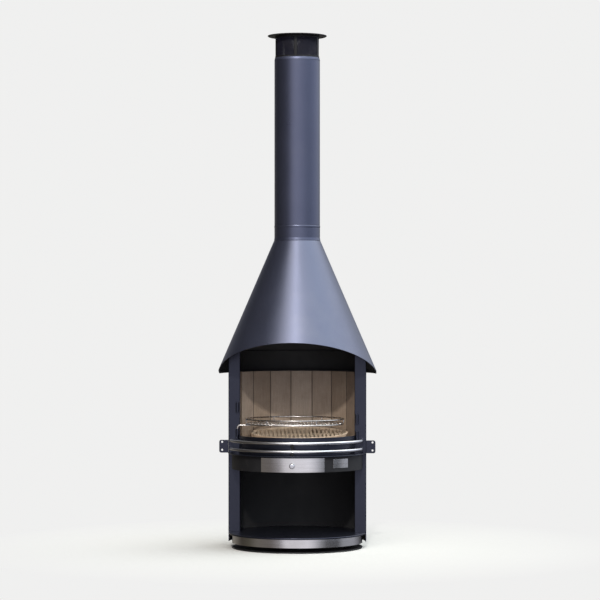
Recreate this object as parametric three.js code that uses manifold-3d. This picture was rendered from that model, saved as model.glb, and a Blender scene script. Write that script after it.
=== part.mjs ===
// Chiminea: a half-round steel garden fireplace on a turning base, with a log store, an ash drawer,
// a brick-lined firebox with a swing grill, a conical hood and a flue pipe with a spark guard.
// Millimetres, +Z up, origin at the bottom centre of the base plate, the front faces -Y.

import * as THREE from 'three';
import { mergeVertices } from 'three/addons/utils/BufferGeometryUtils.js';
import Module from 'manifold-3d';

const wasm = await Module();
wasm.setup();

// Driving dimensions
const GAP = 0.3;
const SHEET = 3;
const ARC_STEP = 6;
const ROUND = 60;
const SMALL_ROUND = 36;

const BASE_RADIUS = 290;
const BASE_THICK = 5;

const TURN_RADIUS = 130;
const TURN_THICK = 6;
const TURN_RUN = 0.7;
const PIVOT_RADIUS = 8;
const PIVOT_HEAD_RADIUS = 14;
const PIVOT_HEAD_HEIGHT = 8;

const SHELL_RADIUS = 307;
const SHELL_BOTTOM = 25;
const SHELL_TOP = 868;
const INSIDE_RADIUS = SHELL_RADIUS - SHEET;

const PLINTH_RADIUS = 289.5;
const PLINTH_BOTTOM = 23;
const PLINTH_TOP = 60;
const FLOOR_TOP = 68.3;
const FLOOR_THICK = 8;

const POST_INNER = 255;
const POST_THICK = 4;
const POST_RETURN = 25;

const DRUM_RADIUS = 290;
const DECK_BOTTOM = 350;
const SHELF_BOTTOM = 417;
const SHELF_THICK = 4.5;

const DRAWER_OPENING_HALF = 125;
const DRAWER_OPENING_BOTTOM = 354.2;
const DRAWER_OPENING_TOP = 411;
const DRAWER_FRONT_HALF = 138.5;
const DRAWER_FRONT_BOTTOM = 351;
const DRAWER_FRONT_TOP = 413;
const DRAWER_FRONT_THICK = 2.5;
const TRAY_HALF = 120;
const TRAY_BOTTOM = 355.2;
const TRAY_TOP = 402;
const TRAY_BACK = 60;
const TRAY_WALL = 2;
const RUNNER_FRONT = -245;
const KNOB_HEIGHT = 380;

const BADGE_CENTRE_ANGLE = 45.2;
const BADGE_HALF_ANGLE = 8.4;
const BADGE_BOTTOM = 367;
const BADGE_TOP = 406;
const BADGE_THICK = 1.2;

const APRON_RADIUS = 258.3;
const APRON_TOP = 499;
const HEARTH_PLATE_BOTTOM = 450;
const HEARTH_TOP = 484;
const HEARTH_RADIUS = 254.9;
const ASH_HOLE_RADIUS = 110;

const BRICK_INNER = 267;
const BRICK_THICK = 30;
const BRICK_TOP = 776.5;
const BRICK_COUNT = 9;
const BRICK_PITCH = 20.8;
const BRICK_PLAY = 0.4;

const GRATE_RADIUS = 215;
const GRATE_CENTRE = [8, 12];
const GRATE_HEIGHT = 8;
const GRATE_TILT = 3.5;
const GRATE_MID_Z = 498;
const RIB_PITCH = 18;
const RIB_WIDTH = 11;
const GRATE_TURN = 6;
const GRATE_FOOT_X = 108;
const GRATE_FOOT_Y = 178;
const GRATE_FOOT_RADIUS = 7;

const RAIL_PATH_RADIUS = 300;
const RAIL_TUBE_RADIUS = 7;
const RAIL_END_X = 288;
const RAIL_BEND = 40;
const UPPER_RAIL_Z = 477;
const LOWER_RAIL_Z = 441;
const RAIL_POST_RADIUS = 5;

const BRACKET_OUTER = 348;
const BRACKET_BOTTOM = 419;
const BRACKET_TOP = 476;
const BRACKET_CORNER = 9;
const BRACKET_HOLE_RADIUS = 4.5;
const BRACKET_HOLE_X = 335;
const BRACKET_HOLE_Z = [431.5, 467];

const SOCKET_X = 266;
const SOCKET_RADIUS = 7.5;
const SOCKET_BORE = 5;
const SOCKET_FLOOR = 4;
const SOCKET_Y = -(POST_THICK + GAP + SOCKET_RADIUS);
const SOCKETS = [
  { name: 'socket_left_lower', side: -1, bottom: 481, top: 526 },
  { name: 'socket_left_upper', side: -1, bottom: 599, top: 643 },
  { name: 'socket_right_lower', side: 1, bottom: 472, top: 516 },
  { name: 'socket_right_upper', side: 1, bottom: 549, top: 592 },
];
const ARM_RADIUS = 4.5;
const ARM_Z = 542;
const ARM_BEND = 14;
const ARM_END_X = 130;

const GRID_CENTRE = [-10, SOCKET_Y];
const GRID_RADIUS = 216;
const GRID_WIRE = 3;
const GRID_BAR = 2;
const GRID_CROSS = 1.8;
const GRID_BAR_PITCH = 16;
const GRID_CROSS_Y = 70;
const GUARD_RADIUS = GRID_RADIUS + 1;
const GUARD_Z = 571;
const GUARD_POSTS = 6;
const GUARD_POST_RADIUS = 2.5;

const HOOD_RADIUS = 352;
const HOOD_BOTTOM = 771;
const HOOD_SKIRT = 19;
const HOOD_STEP = 2.5;
const HOOD_TOP = 1361.5;
const HOOD_TOP_RADIUS = 103;
const HOOD_CUT_Z = 782;
const HOOD_CUT_ANGLE = Math.atan(0.44);

const PIPE_RADIUS = 101;
const PIPE_WALL = 2;
const PIPE_TOP = 2160;
const NECK_TOP = 1430;
const NECK_RADIUS = 101.2;
const NECK_BEAD = 0.9;
const NECK_BEAD_HEIGHT = 11;
const NECK_FOOT = 1.6;
const NECK_FOOT_HEIGHT = 13.5;
const SPIGOT_HEIGHT = 40;

const CAP_RIM_HEIGHT = 13.7;
const CAP_RIM_TAPER = 2;
const CAP_SLEEVE_DEPTH = 20;
const CAGE_RADIUS = 98;
const CAGE_TOP = 2267;
const CAGE_HOOP_HEIGHT = 6;
const CAGE_STRAPS = 5;
const CAGE_STRAP_WIDTH = 14;
const DISC_RADIUS = 131;
const DISC_EDGE = 6;
const DISC_DOME = 14;

// Materials
function finish(color, roughness, metalness) {
  return new THREE.MeshStandardMaterial({ color, roughness, metalness });
}

const paint = finish(0x3b4252, 0.45, 0.4);
const blackPaint = finish(0x17181b, 0.6, 0.2);
const stainless = finish(0xb9bcc0, 0.35, 1.0);
const chrome = finish(0xd9dadc, 0.12, 1.0);
const chamotte = finish(0xb49a7d, 0.9, 0.0);
const grateIron = finish(0xa98e6c, 0.85, 0.1);
const steel = finish(0x55585c, 0.5, 0.8);

// Joins and cuts
function solid(geometry) {
  const plain = geometry.clone();
  plain.deleteAttribute('normal');
  plain.deleteAttribute('uv');
  const merged = mergeVertices(plain, 1e-4);
  return new wasm.Manifold(new wasm.Mesh({
    numProp: 3,
    vertProperties: merged.attributes.position.array,
    triVerts: Uint32Array.from(merged.index.array),
  }));
}

function geometryOf(manifold) {
  const mesh = manifold.getMesh();
  const geometry = new THREE.BufferGeometry();
  geometry.setAttribute('position', new THREE.BufferAttribute(Float32Array.from(mesh.vertProperties), 3));
  geometry.setIndex(Array.from(mesh.triVerts));
  return geometry;
}

function cut(geometry, ...tools) {
  return geometryOf(tools.reduce((rest, tool) => rest.subtract(solid(tool)), solid(geometry)));
}

function join(geometry, ...others) {
  return geometryOf(others.reduce((rest, other) => rest.add(solid(other)), solid(geometry)));
}

// Basic shapes. Angles are in degrees, counted from the front (-Y) and positive towards +X.
function turned(profile, segments = ROUND) {
  const points = [...profile, profile[0]].map(([radius, z]) => new THREE.Vector2(radius, z));
  return new THREE.LatheGeometry(points, segments).rotateX(Math.PI / 2);
}

function turnedFromAxis(profile, segments = ROUND) {
  const points = profile.map(([radius, z]) => new THREE.Vector2(radius, z));
  return new THREE.LatheGeometry(points, segments).rotateX(Math.PI / 2);
}

function ring(inner, outer, bottom, top, segments = ROUND) {
  return turned([[inner, bottom], [outer, bottom], [outer, top], [inner, top]], segments);
}

function disc(radius, bottom, top, segments = ROUND) {
  return new THREE.CylinderGeometry(radius, radius, top - bottom, segments)
    .rotateX(Math.PI / 2)
    .translate(0, 0, (bottom + top) / 2);
}

function rod(radius, x, y, bottom, top, segments = 16) {
  return disc(radius, bottom, top, segments).translate(x, y, 0);
}

function block(x0, x1, y0, y1, z0, z1) {
  return new THREE.BoxGeometry(x1 - x0, y1 - y0, z1 - z0)
    .translate((x0 + x1) / 2, (y0 + y1) / 2, (z0 + z1) / 2);
}

function extruded(shape, bottom, top, curveSegments = 12) {
  return new THREE.ExtrudeGeometry(shape, { depth: top - bottom, bevelEnabled: false, curveSegments })
    .translate(0, 0, bottom);
}

function arcBand(inner, outer, from, to, bottom, top) {
  const start = THREE.MathUtils.degToRad(from - 90);
  const end = THREE.MathUtils.degToRad(to - 90);
  const shape = new THREE.Shape();
  shape.absarc(0, 0, outer, start, end, false);
  shape.absarc(0, 0, inner, end, start, true);
  const halfSteps = Math.max(1, Math.round((to - from) / ARC_STEP / 2));
  return extruded(shape, bottom, top, halfSteps);
}

function frontArcEnd(radius, clearance) {
  return 90 - THREE.MathUtils.radToDeg(Math.asin(clearance / radius));
}

function tube(points, radius, steps, sides = 6) {
  const section = new THREE.Shape();
  for (let side = 0; side < sides; side += 1) {
    const angle = (2 * Math.PI * side) / sides;
    section[side ? 'lineTo' : 'moveTo'](radius * Math.cos(angle), radius * Math.sin(angle));
  }
  section.closePath();
  const path = new THREE.CatmullRomCurve3(points, false, 'centripetal');
  return new THREE.ExtrudeGeometry(section, { extrudePath: path, steps, bevelEnabled: false });
}

function wireRing(radius, z, wire, segments = SMALL_ROUND, sides = 5) {
  return new THREE.TorusGeometry(radius, wire, sides, segments).translate(0, 0, z);
}

// Clearance cut for both L-shaped posts through a plate or slab
function postNotches(bottom, top) {
  const cuts = [];
  for (const side of [-1, 1]) {
    const near = side * (POST_INNER - GAP);
    const far = side * (SHELL_RADIUS + 10);
    const backLeg = side * (POST_INNER + SHEET + GAP);
    cuts.push(block(Math.min(near, far), Math.max(near, far), -POST_THICK - GAP, GAP, bottom - 1, top + 1));
    const [from, to] = [Math.min(near, backLeg), Math.max(near, backLeg)];
    cuts.push(block(from, to, 0, POST_RETURN + GAP, bottom - 1, top + 1));
  }
  return cuts;
}

// Plate with one radius in front of the posts and another behind them
function bodyPlate(frontRadius, backRadius, bottom, top, holeRadius = 0) {
  const front = cut(
    disc(frontRadius, bottom, top),
    block(-400, 400, 0, 400, bottom - 1, top + 1),
  );
  const back = cut(
    disc(backRadius, bottom, top),
    block(-400, 400, -400, -0.01, bottom - 1, top + 1),
  );
  const cuts = postNotches(bottom, top);
  if (holeRadius > 0) {
    cuts.push(disc(holeRadius, bottom - 1, top + 1, SMALL_ROUND));
  }
  return cut(join(front, back), ...cuts);
}

const chiminea = new THREE.Group();

function add(name, geometry, material) {
  const mesh = new THREE.Mesh(geometry, material);
  mesh.name = name;
  chiminea.add(mesh);
  return mesh;
}

// Turning base
function makeBase() {
  const lowerBottom = BASE_THICK + GAP;
  const lowerTop = lowerBottom + TURN_THICK;
  const upperBottom = lowerTop + TURN_RUN;
  const upperTop = upperBottom + TURN_THICK;
  const headBottom = upperTop + TURN_RUN;
  const headTop = headBottom + PIVOT_HEAD_HEIGHT;
  const floorBottom = FLOOR_TOP - FLOOR_THICK;
  add('base_plate', disc(BASE_RADIUS, 0, BASE_THICK), blackPaint);
  add('turntable_lower_plate', ring(
    PIVOT_RADIUS + GAP, TURN_RADIUS, lowerBottom, lowerTop, SMALL_ROUND,
  ), steel);
  add('turntable_upper_plate', ring(
    PIVOT_RADIUS + 2 * GAP, TURN_RADIUS, upperBottom, upperTop, SMALL_ROUND,
  ), steel);
  add('pivot_bolt', turnedFromAxis([
    [0, lowerBottom],
    [PIVOT_RADIUS, lowerBottom],
    [PIVOT_RADIUS, headBottom],
    [PIVOT_HEAD_RADIUS, headBottom],
    [PIVOT_HEAD_RADIUS, headTop],
    [0, headTop],
  ], 24), steel);
  add('floor_riser', ring(
    TURN_RADIUS - 14, TURN_RADIUS - 8, upperTop + GAP, floorBottom - GAP, SMALL_ROUND,
  ), steel);
}

// Plinth, log store and outer shell
function makeHousing() {
  const floorBottom = FLOOR_TOP - FLOOR_THICK;
  const plinthEnd = frontArcEnd(PLINTH_RADIUS, 6);
  add('plinth_band', arcBand(
    PLINTH_RADIUS - 2.5, PLINTH_RADIUS, -plinthEnd, plinthEnd, PLINTH_BOTTOM, PLINTH_TOP - GAP,
  ), stainless);
  add('log_floor', disc(INSIDE_RADIUS - GAP, floorBottom, FLOOR_TOP), paint);
  add('back_shell', arcBand(INSIDE_RADIUS, SHELL_RADIUS, 90.1, 269.9, SHELL_BOTTOM, SHELL_TOP), paint);
  for (const [name, side] of [['front_post_left', -1], ['front_post_right', 1]]) {
    const outline = new THREE.Shape();
    outline.moveTo(side * POST_INNER, -POST_THICK);
    outline.lineTo(side * SHELL_RADIUS, -POST_THICK);
    outline.lineTo(side * SHELL_RADIUS, 0);
    outline.lineTo(side * (POST_INNER + SHEET), 0);
    outline.lineTo(side * (POST_INNER + SHEET), POST_RETURN);
    outline.lineTo(side * POST_INNER, POST_RETURN);
    outline.closePath();
    add(name, extruded(outline, FLOOR_TOP + GAP, SHELL_TOP), paint);
  }
}

// Ash drawer in its drum between the log store and the hearth
function makeDrawer() {
  const deckTop = DECK_BOTTOM + SHEET;
  const inner = DRUM_RADIUS - SHEET;
  const drumEnd = frontArcEnd(DRUM_RADIUS - SHEET / 2, POST_THICK + 1);
  const opening = block(
    -DRAWER_OPENING_HALF, DRAWER_OPENING_HALF, -400, 0, DRAWER_OPENING_BOTTOM, DRAWER_OPENING_TOP,
  );
  add('drawer_deck', bodyPlate(inner - GAP, INSIDE_RADIUS - GAP, DECK_BOTTOM, deckTop), blackPaint);
  add('drawer_fascia', cut(
    arcBand(inner, DRUM_RADIUS, -drumEnd, drumEnd, DECK_BOTTOM, SHELF_BOTTOM - GAP), opening,
  ), blackPaint);

  const trayFront = DRUM_RADIUS - 2 * GAP;
  const corner = THREE.MathUtils.radToDeg(Math.asin(TRAY_HALF / trayFront));
  const outline = new THREE.Shape();
  outline.moveTo(TRAY_HALF, TRAY_BACK);
  outline.lineTo(-TRAY_HALF, TRAY_BACK);
  outline.absarc(
    0, 0, trayFront, THREE.MathUtils.degToRad(-90 - corner), THREE.MathUtils.degToRad(-90 + corner), false,
  );
  outline.closePath();
  const hollowHalf = TRAY_HALF - TRAY_WALL;
  const hollowFront = trayFront - TRAY_WALL;
  const hollowCorner = THREE.MathUtils.radToDeg(Math.asin(hollowHalf / hollowFront));
  const hollow = new THREE.Shape();
  hollow.moveTo(hollowHalf, TRAY_BACK - TRAY_WALL);
  hollow.lineTo(-hollowHalf, TRAY_BACK - TRAY_WALL);
  hollow.absarc(
    0, 0, hollowFront,
    THREE.MathUtils.degToRad(-90 - hollowCorner), THREE.MathUtils.degToRad(-90 + hollowCorner), false,
  );
  hollow.closePath();
  add('ash_tray', cut(
    extruded(outline, TRAY_BOTTOM, TRAY_TOP, 6),
    extruded(hollow, TRAY_BOTTOM + TRAY_WALL, TRAY_TOP + 5, 6),
  ), blackPaint);

  const plateInner = DRUM_RADIUS + 0.5;
  const plateOuter = plateInner + DRAWER_FRONT_THICK;
  const plateAngle = THREE.MathUtils.radToDeg(Math.asin(DRAWER_FRONT_HALF / plateOuter));
  add('drawer_front', arcBand(
    plateInner, plateOuter, -plateAngle, plateAngle, DRAWER_FRONT_BOTTOM, DRAWER_FRONT_TOP,
  ), stainless);
  add('drawer_knob', turnedFromAxis([
    [0, 0], [5, 0], [4, 9], [12, 14], [12, 20], [0, 24.5],
  ], 20).rotateX(Math.PI / 2).translate(0, -plateOuter - GAP, KNOB_HEIGHT), chrome);

  for (const [name, side] of [['drawer_runner_left', -1], ['drawer_runner_right', 1]]) {
    const profile = new THREE.Shape();
    profile.moveTo(side * (TRAY_HALF - 12), 0);
    profile.lineTo(side * (TRAY_HALF + 4), 0);
    profile.lineTo(side * (TRAY_HALF + 4), 20);
    profile.lineTo(side * (TRAY_HALF + 2.5), 20);
    profile.lineTo(side * (TRAY_HALF + 2.5), 1.5);
    profile.lineTo(side * (TRAY_HALF - 12), 1.5);
    profile.closePath();
    const length = TRAY_BACK - RUNNER_FRONT;
    add(name, extruded(profile, 0, length)
      .rotateX(Math.PI / 2)
      .translate(0, TRAY_BACK, deckTop + GAP), steel);
  }
  add('name_plate', arcBand(
    DRUM_RADIUS + 3 * GAP, DRUM_RADIUS + 3 * GAP + BADGE_THICK,
    BADGE_CENTRE_ANGLE - BADGE_HALF_ANGLE, BADGE_CENTRE_ANGLE + BADGE_HALF_ANGLE, BADGE_BOTTOM, BADGE_TOP,
  ), stainless);
}

// Shelf plate, apron, hearth and ash chute
function makeHearth() {
  const shelfTop = SHELF_BOTTOM + SHELF_THICK;
  const plateTop = HEARTH_PLATE_BOTTOM + SHEET;
  const apronEnd = frontArcEnd(APRON_RADIUS - SHEET / 2, POST_THICK + 1);
  const inside = INSIDE_RADIUS - GAP;
  add('shelf_plate', bodyPlate(SHELL_RADIUS, inside, SHELF_BOTTOM, shelfTop, ASH_HOLE_RADIUS), paint);
  add('apron', arcBand(
    APRON_RADIUS - SHEET, APRON_RADIUS, -apronEnd, apronEnd, shelfTop + GAP, APRON_TOP,
  ), paint);
  add('ash_chute', ring(
    ASH_HOLE_RADIUS + 2, ASH_HOLE_RADIUS + 5, shelfTop + GAP, HEARTH_PLATE_BOTTOM - GAP, SMALL_ROUND,
  ), blackPaint);
  add('hearth_plate', bodyPlate(
    HEARTH_RADIUS, inside, HEARTH_PLATE_BOTTOM, plateTop, ASH_HOLE_RADIUS,
  ), blackPaint);
  add('hearth_slab', bodyPlate(
    HEARTH_RADIUS, inside, plateTop + GAP, HEARTH_TOP, ASH_HOLE_RADIUS,
  ), chamotte);
}

// Upright bricks round the back of the firebox
function makeLining() {
  const outer = BRICK_INNER + BRICK_THICK;
  const endAngle = THREE.MathUtils.radToDeg(Math.acos((POST_THICK / 4) / BRICK_INNER));
  for (let index = 0; index < BRICK_COUNT; index += 1) {
    const centre = (index - (BRICK_COUNT - 1) / 2) * BRICK_PITCH;
    const from = Math.max(centre - BRICK_PITCH / 2, -endAngle);
    const to = Math.min(centre + BRICK_PITCH / 2, endAngle);
    const play = THREE.MathUtils.radToDeg(BRICK_PLAY / BRICK_INNER);
    const outline = new THREE.Shape();
    const corners = [
      [BRICK_INNER, from + play], [outer, from + play], [outer, to - play], [BRICK_INNER, to - play],
    ];
    corners.forEach(([radius, degrees], corner) => {
      const angle = THREE.MathUtils.degToRad(90 - degrees);
      const method = corner ? 'lineTo' : 'moveTo';
      outline[method](radius * Math.cos(angle), radius * Math.sin(angle));
    });
    outline.closePath();
    add(`lining_brick_${index + 1}`, extruded(outline, HEARTH_TOP + GAP, BRICK_TOP), chamotte);
  }
  add('lining_retainer', arcBand(
    BRICK_INNER - 3, INSIDE_RADIUS - 2 * GAP, 96, 264, BRICK_TOP + GAP, BRICK_TOP + GAP + SHEET,
  ), blackPaint);
}

// Round ribbed grate that leans to the front on two feet at its back
function makeGrate() {
  const rim = turned([
    [GRATE_RADIUS - 13, 0],
    [GRATE_RADIUS - 3, 0],
    [GRATE_RADIUS + 3, 13],
    [GRATE_RADIUS - 2, 13],
    [GRATE_RADIUS - 6, GRATE_HEIGHT],
    [GRATE_RADIUS - 13, GRATE_HEIGHT],
  ], SMALL_ROUND);
  const reach = GRATE_RADIUS - 8;
  const ribs = [];
  const ribsEachSide = Math.floor(reach / RIB_PITCH);
  for (let index = -ribsEachSide; index <= ribsEachSide; index += 1) {
    const x = index * RIB_PITCH;
    const half = Math.sqrt(reach ** 2 - (Math.abs(x) + RIB_WIDTH / 2) ** 2);
    ribs.push(block(x - RIB_WIDTH / 2, x + RIB_WIDTH / 2, -half, half, 0.5, GRATE_HEIGHT - 1));
  }
  const crossBar = block(-reach + 4, reach - 4, -5, 5, 0, GRATE_HEIGHT - 2);
  const tilt = THREE.MathUtils.degToRad(GRATE_TILT);
  const grate = join(rim, crossBar, ...ribs)
    .rotateZ(THREE.MathUtils.degToRad(GRATE_TURN))
    .rotateX(tilt)
    .translate(GRATE_CENTRE[0], GRATE_CENTRE[1], GRATE_MID_Z);
  const footTop = GRATE_MID_Z + (GRATE_FOOT_Y - GRATE_CENTRE[1]) * Math.tan(tilt) + GRATE_HEIGHT / 2;
  const feet = [-GRATE_FOOT_X, GRATE_FOOT_X].map((x) => rod(
    GRATE_FOOT_RADIUS, x + GRATE_CENTRE[0], GRATE_FOOT_Y, HEARTH_TOP + GAP, footTop, 12,
  ));
  add('fire_grate', join(grate, ...feet), grateIron);
}

// Two rails round the hearth, on a post at the middle of the shelf
function railPath(z) {
  const turnSine = (RAIL_END_X - RAIL_BEND) / (RAIL_PATH_RADIUS - RAIL_BEND);
  const turn = Math.asin(turnSine);
  const bendY = -(RAIL_PATH_RADIUS - RAIL_BEND) * Math.cos(turn);
  const points = [];
  for (const side of [-1, 1]) {
    const half = [];
    half.push(new THREE.Vector3(side * RAIL_END_X, -POST_THICK - GAP, z));
    half.push(new THREE.Vector3(side * RAIL_END_X, bendY / 2, z));
    for (let step = 0; step <= 3; step += 1) {
      const angle = Math.PI / 2 - (step / 3) * (Math.PI / 2 - turn);
      const centreX = RAIL_END_X - RAIL_BEND;
      half.push(new THREE.Vector3(
        side * (centreX + RAIL_BEND * Math.sin(angle)), bendY - RAIL_BEND * Math.cos(angle), z,
      ));
    }
    const arcSteps = 12;
    for (let step = 1; step < arcSteps; step += 1) {
      const angle = turn * (1 - step / arcSteps);
      half.push(new THREE.Vector3(
        side * RAIL_PATH_RADIUS * Math.sin(angle), -RAIL_PATH_RADIUS * Math.cos(angle), z,
      ));
    }
    if (side < 0) {
      points.push(...half, new THREE.Vector3(0, -RAIL_PATH_RADIUS, z));
    } else {
      points.push(...half.reverse());
    }
  }
  return points;
}

function makeRails() {
  const drill = rod(RAIL_POST_RADIUS + GAP, 0, -RAIL_PATH_RADIUS, SHELF_BOTTOM, UPPER_RAIL_Z + GAP, 16);
  for (const [name, z] of [['upper_rail', UPPER_RAIL_Z], ['lower_rail', LOWER_RAIL_Z]]) {
    add(name, cut(tube(railPath(z), RAIL_TUBE_RADIUS, 56), drill), chrome);
  }
  add('rail_post', rod(
    RAIL_POST_RADIUS, 0, -RAIL_PATH_RADIUS, SHELF_BOTTOM + SHELF_THICK + GAP, UPPER_RAIL_Z, 12,
  ), blackPaint);
}

// Flat plates with two holes each, flush with the posts
function makeBrackets() {
  const inner = SHELL_RADIUS + GAP;
  const corner = BRACKET_CORNER;
  for (const [name, side] of [['side_bracket_left', -1], ['side_bracket_right', 1]]) {
    const plate = new THREE.Shape();
    plate.moveTo(inner, BRACKET_BOTTOM);
    plate.lineTo(BRACKET_OUTER - corner, BRACKET_BOTTOM);
    plate.absarc(BRACKET_OUTER - corner, BRACKET_BOTTOM + corner, corner, -Math.PI / 2, 0, false);
    plate.absarc(BRACKET_OUTER - corner, BRACKET_TOP - corner, corner, 0, Math.PI / 2, false);
    plate.lineTo(inner, BRACKET_TOP);
    plate.closePath();
    for (const z of BRACKET_HOLE_Z) {
      const hole = new THREE.Path();
      hole.absarc(BRACKET_HOLE_X, z, BRACKET_HOLE_RADIUS, 0, 2 * Math.PI, true);
      plate.holes.push(hole);
    }
    const geometry = extruded(plate, 0, POST_THICK, 6).rotateX(Math.PI / 2);
    if (side < 0) {
      geometry.rotateZ(Math.PI).translate(0, -POST_THICK, 0);
    }
    add(name, geometry, paint);
  }
}

// Blind sockets on the posts, and the swing grill that stands in the lower left one
function makeGrill() {
  for (const { name, side, bottom, top } of SOCKETS) {
    add(name, turnedFromAxis([
      [0, bottom],
      [SOCKET_RADIUS, bottom],
      [SOCKET_RADIUS, top],
      [SOCKET_BORE, top],
      [SOCKET_BORE, bottom + SOCKET_FLOOR],
      [0, bottom + SOCKET_FLOOR],
    ], 12).translate(side * SOCKET_X, SOCKET_Y, 0), paint);
  }

  const armBottom = SOCKETS[0].bottom + SOCKET_FLOOR + GAP;
  const armPoints = [new THREE.Vector3(-SOCKET_X, SOCKET_Y, armBottom)];
  armPoints.push(new THREE.Vector3(-SOCKET_X, SOCKET_Y, (armBottom + ARM_Z - ARM_BEND) / 2));
  for (let step = 0; step <= 6; step += 1) {
    const angle = (step / 6) * (Math.PI / 2);
    armPoints.push(new THREE.Vector3(
      -SOCKET_X + ARM_BEND * (1 - Math.cos(angle)), SOCKET_Y, ARM_Z - ARM_BEND * (1 - Math.sin(angle)),
    ));
  }
  armPoints.push(new THREE.Vector3(-SOCKET_X / 2, SOCKET_Y, ARM_Z));
  armPoints.push(new THREE.Vector3(ARM_END_X, SOCKET_Y, ARM_Z));
  add('grill_arm', tube(armPoints, ARM_RADIUS, 52), chrome);

  const ringZ = ARM_Z + ARM_RADIUS + GAP + GRID_WIRE;
  const barZ = ringZ + GRID_WIRE;
  const crossZ = barZ - GRID_BAR - GRID_CROSS - GAP;
  const bars = [];
  const barsEachSide = Math.floor((GRID_RADIUS - 4) / GRID_BAR_PITCH);
  for (let index = -barsEachSide; index <= barsEachSide; index += 1) {
    const x = index * GRID_BAR_PITCH;
    const half = Math.sqrt(GRID_RADIUS ** 2 - x ** 2);
    bars.push(new THREE.CylinderGeometry(GRID_BAR, GRID_BAR, 2 * half, 4).translate(x, 0, barZ));
  }
  const crossBars = [-GRID_CROSS_Y, GRID_CROSS_Y].map((y) => {
    const half = Math.sqrt(GRID_RADIUS ** 2 - y ** 2);
    return new THREE.CylinderGeometry(GRID_CROSS, GRID_CROSS, 2 * half, 6)
      .rotateZ(Math.PI / 2)
      .translate(0, y, crossZ);
  });
  const grid = join(wireRing(GRID_RADIUS, ringZ, GRID_WIRE), ...crossBars, ...bars);
  add('grill_grid', grid.translate(GRID_CENTRE[0], GRID_CENTRE[1], 0), chrome);

  const posts = [];
  for (let index = 0; index < GUARD_POSTS; index += 1) {
    const angle = (index * 2 * Math.PI) / GUARD_POSTS;
    posts.push(rod(
      GUARD_POST_RADIUS, GUARD_RADIUS * Math.cos(angle), GUARD_RADIUS * Math.sin(angle),
      barZ + GRID_BAR + GAP, GUARD_Z, 6,
    ));
  }
  const guard = join(wireRing(GUARD_RADIUS, GUARD_Z, GRID_WIRE), ...posts);
  add('grill_guard_ring', guard.translate(GRID_CENTRE[0], GRID_CENTRE[1], 0), chrome);
}

// Conical hood with a stepped skirt, its front cut away along an inclined plane
function makeHood() {
  const shoulder = HOOD_BOTTOM + HOOD_SKIRT;
  const coneRadius = HOOD_RADIUS - HOOD_STEP;
  const cone = turned([
    [HOOD_RADIUS - SHEET, HOOD_BOTTOM],
    [HOOD_RADIUS, HOOD_BOTTOM],
    [HOOD_RADIUS, shoulder - 2 * HOOD_STEP],
    [coneRadius, shoulder],
    [HOOD_TOP_RADIUS, HOOD_TOP],
    [HOOD_TOP_RADIUS - SHEET, HOOD_TOP],
    [coneRadius - SHEET, shoulder],
    [HOOD_RADIUS - SHEET, shoulder - 2 * HOOD_STEP],
  ]);
  const mouth = new THREE.BoxGeometry(900, 900, 500)
    .translate(0, 0, -250)
    .rotateX(-HOOD_CUT_ANGLE)
    .translate(0, 0, HOOD_CUT_Z);
  add('hood', cut(cone, mouth), paint);
}

// Neck collar with a foot, a bead and a spigot inside the pipe
function makeFlue() {
  const spigot = PIPE_RADIUS - PIPE_WALL - GAP;
  const collarTop = NECK_TOP - GAP;
  add('neck_collar', turned([
    [spigot - PIPE_WALL, HOOD_TOP + GAP],
    [NECK_RADIUS + NECK_FOOT, HOOD_TOP + GAP],
    [NECK_RADIUS, HOOD_TOP + NECK_FOOT_HEIGHT],
    [NECK_RADIUS, collarTop - NECK_BEAD_HEIGHT],
    [NECK_RADIUS + NECK_BEAD, collarTop - NECK_BEAD_HEIGHT / 2],
    [NECK_RADIUS, collarTop],
    [spigot, collarTop],
    [spigot, collarTop + SPIGOT_HEIGHT],
    [spigot - PIPE_WALL, collarTop + SPIGOT_HEIGHT],
  ]), paint);
  add('flue_pipe', ring(PIPE_RADIUS - PIPE_WALL, PIPE_RADIUS, NECK_TOP, PIPE_TOP), paint);
}

// Rim with a sleeve in the pipe, spark guard of two hoops and straps, and a shallow dome
function makeCap() {
  const rimBottom = PIPE_TOP + GAP;
  const rimTop = PIPE_TOP + CAP_RIM_HEIGHT;
  const sleeve = PIPE_RADIUS - PIPE_WALL - GAP;
  add('cap_collar', turned([
    [sleeve - 2, PIPE_TOP - CAP_SLEEVE_DEPTH],
    [sleeve, PIPE_TOP - CAP_SLEEVE_DEPTH],
    [sleeve, rimBottom],
    [PIPE_RADIUS + GAP, rimBottom],
    [PIPE_RADIUS + GAP - CAP_RIM_TAPER, rimTop],
    [sleeve - 2, rimTop],
  ], SMALL_ROUND), paint);

  const inner = CAGE_RADIUS - 2;
  const bottom = rimTop + GAP;
  const strapHalf = THREE.MathUtils.radToDeg(CAGE_STRAP_WIDTH / 2 / CAGE_RADIUS);
  const straps = [];
  for (let index = 0; index < CAGE_STRAPS; index += 1) {
    const centre = (index * 360) / CAGE_STRAPS;
    straps.push(arcBand(
      inner, CAGE_RADIUS, centre - strapHalf, centre + strapHalf, bottom + 1, CAGE_TOP - 1,
    ));
  }
  add('spark_guard', join(
    ring(inner, CAGE_RADIUS, bottom, bottom + CAGE_HOOP_HEIGHT, SMALL_ROUND),
    ring(inner, CAGE_RADIUS, CAGE_TOP - CAGE_HOOP_HEIGHT, CAGE_TOP, SMALL_ROUND),
    ...straps,
  ), blackPaint);
  add('cap_disc', turnedFromAxis([
    [0, CAGE_TOP + GAP],
    [DISC_RADIUS - 4, CAGE_TOP + GAP],
    [DISC_RADIUS, CAGE_TOP + DISC_EDGE / 2],
    [DISC_RADIUS, CAGE_TOP + DISC_EDGE],
    [0, CAGE_TOP + DISC_DOME],
  ], 48), blackPaint);
}

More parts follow.
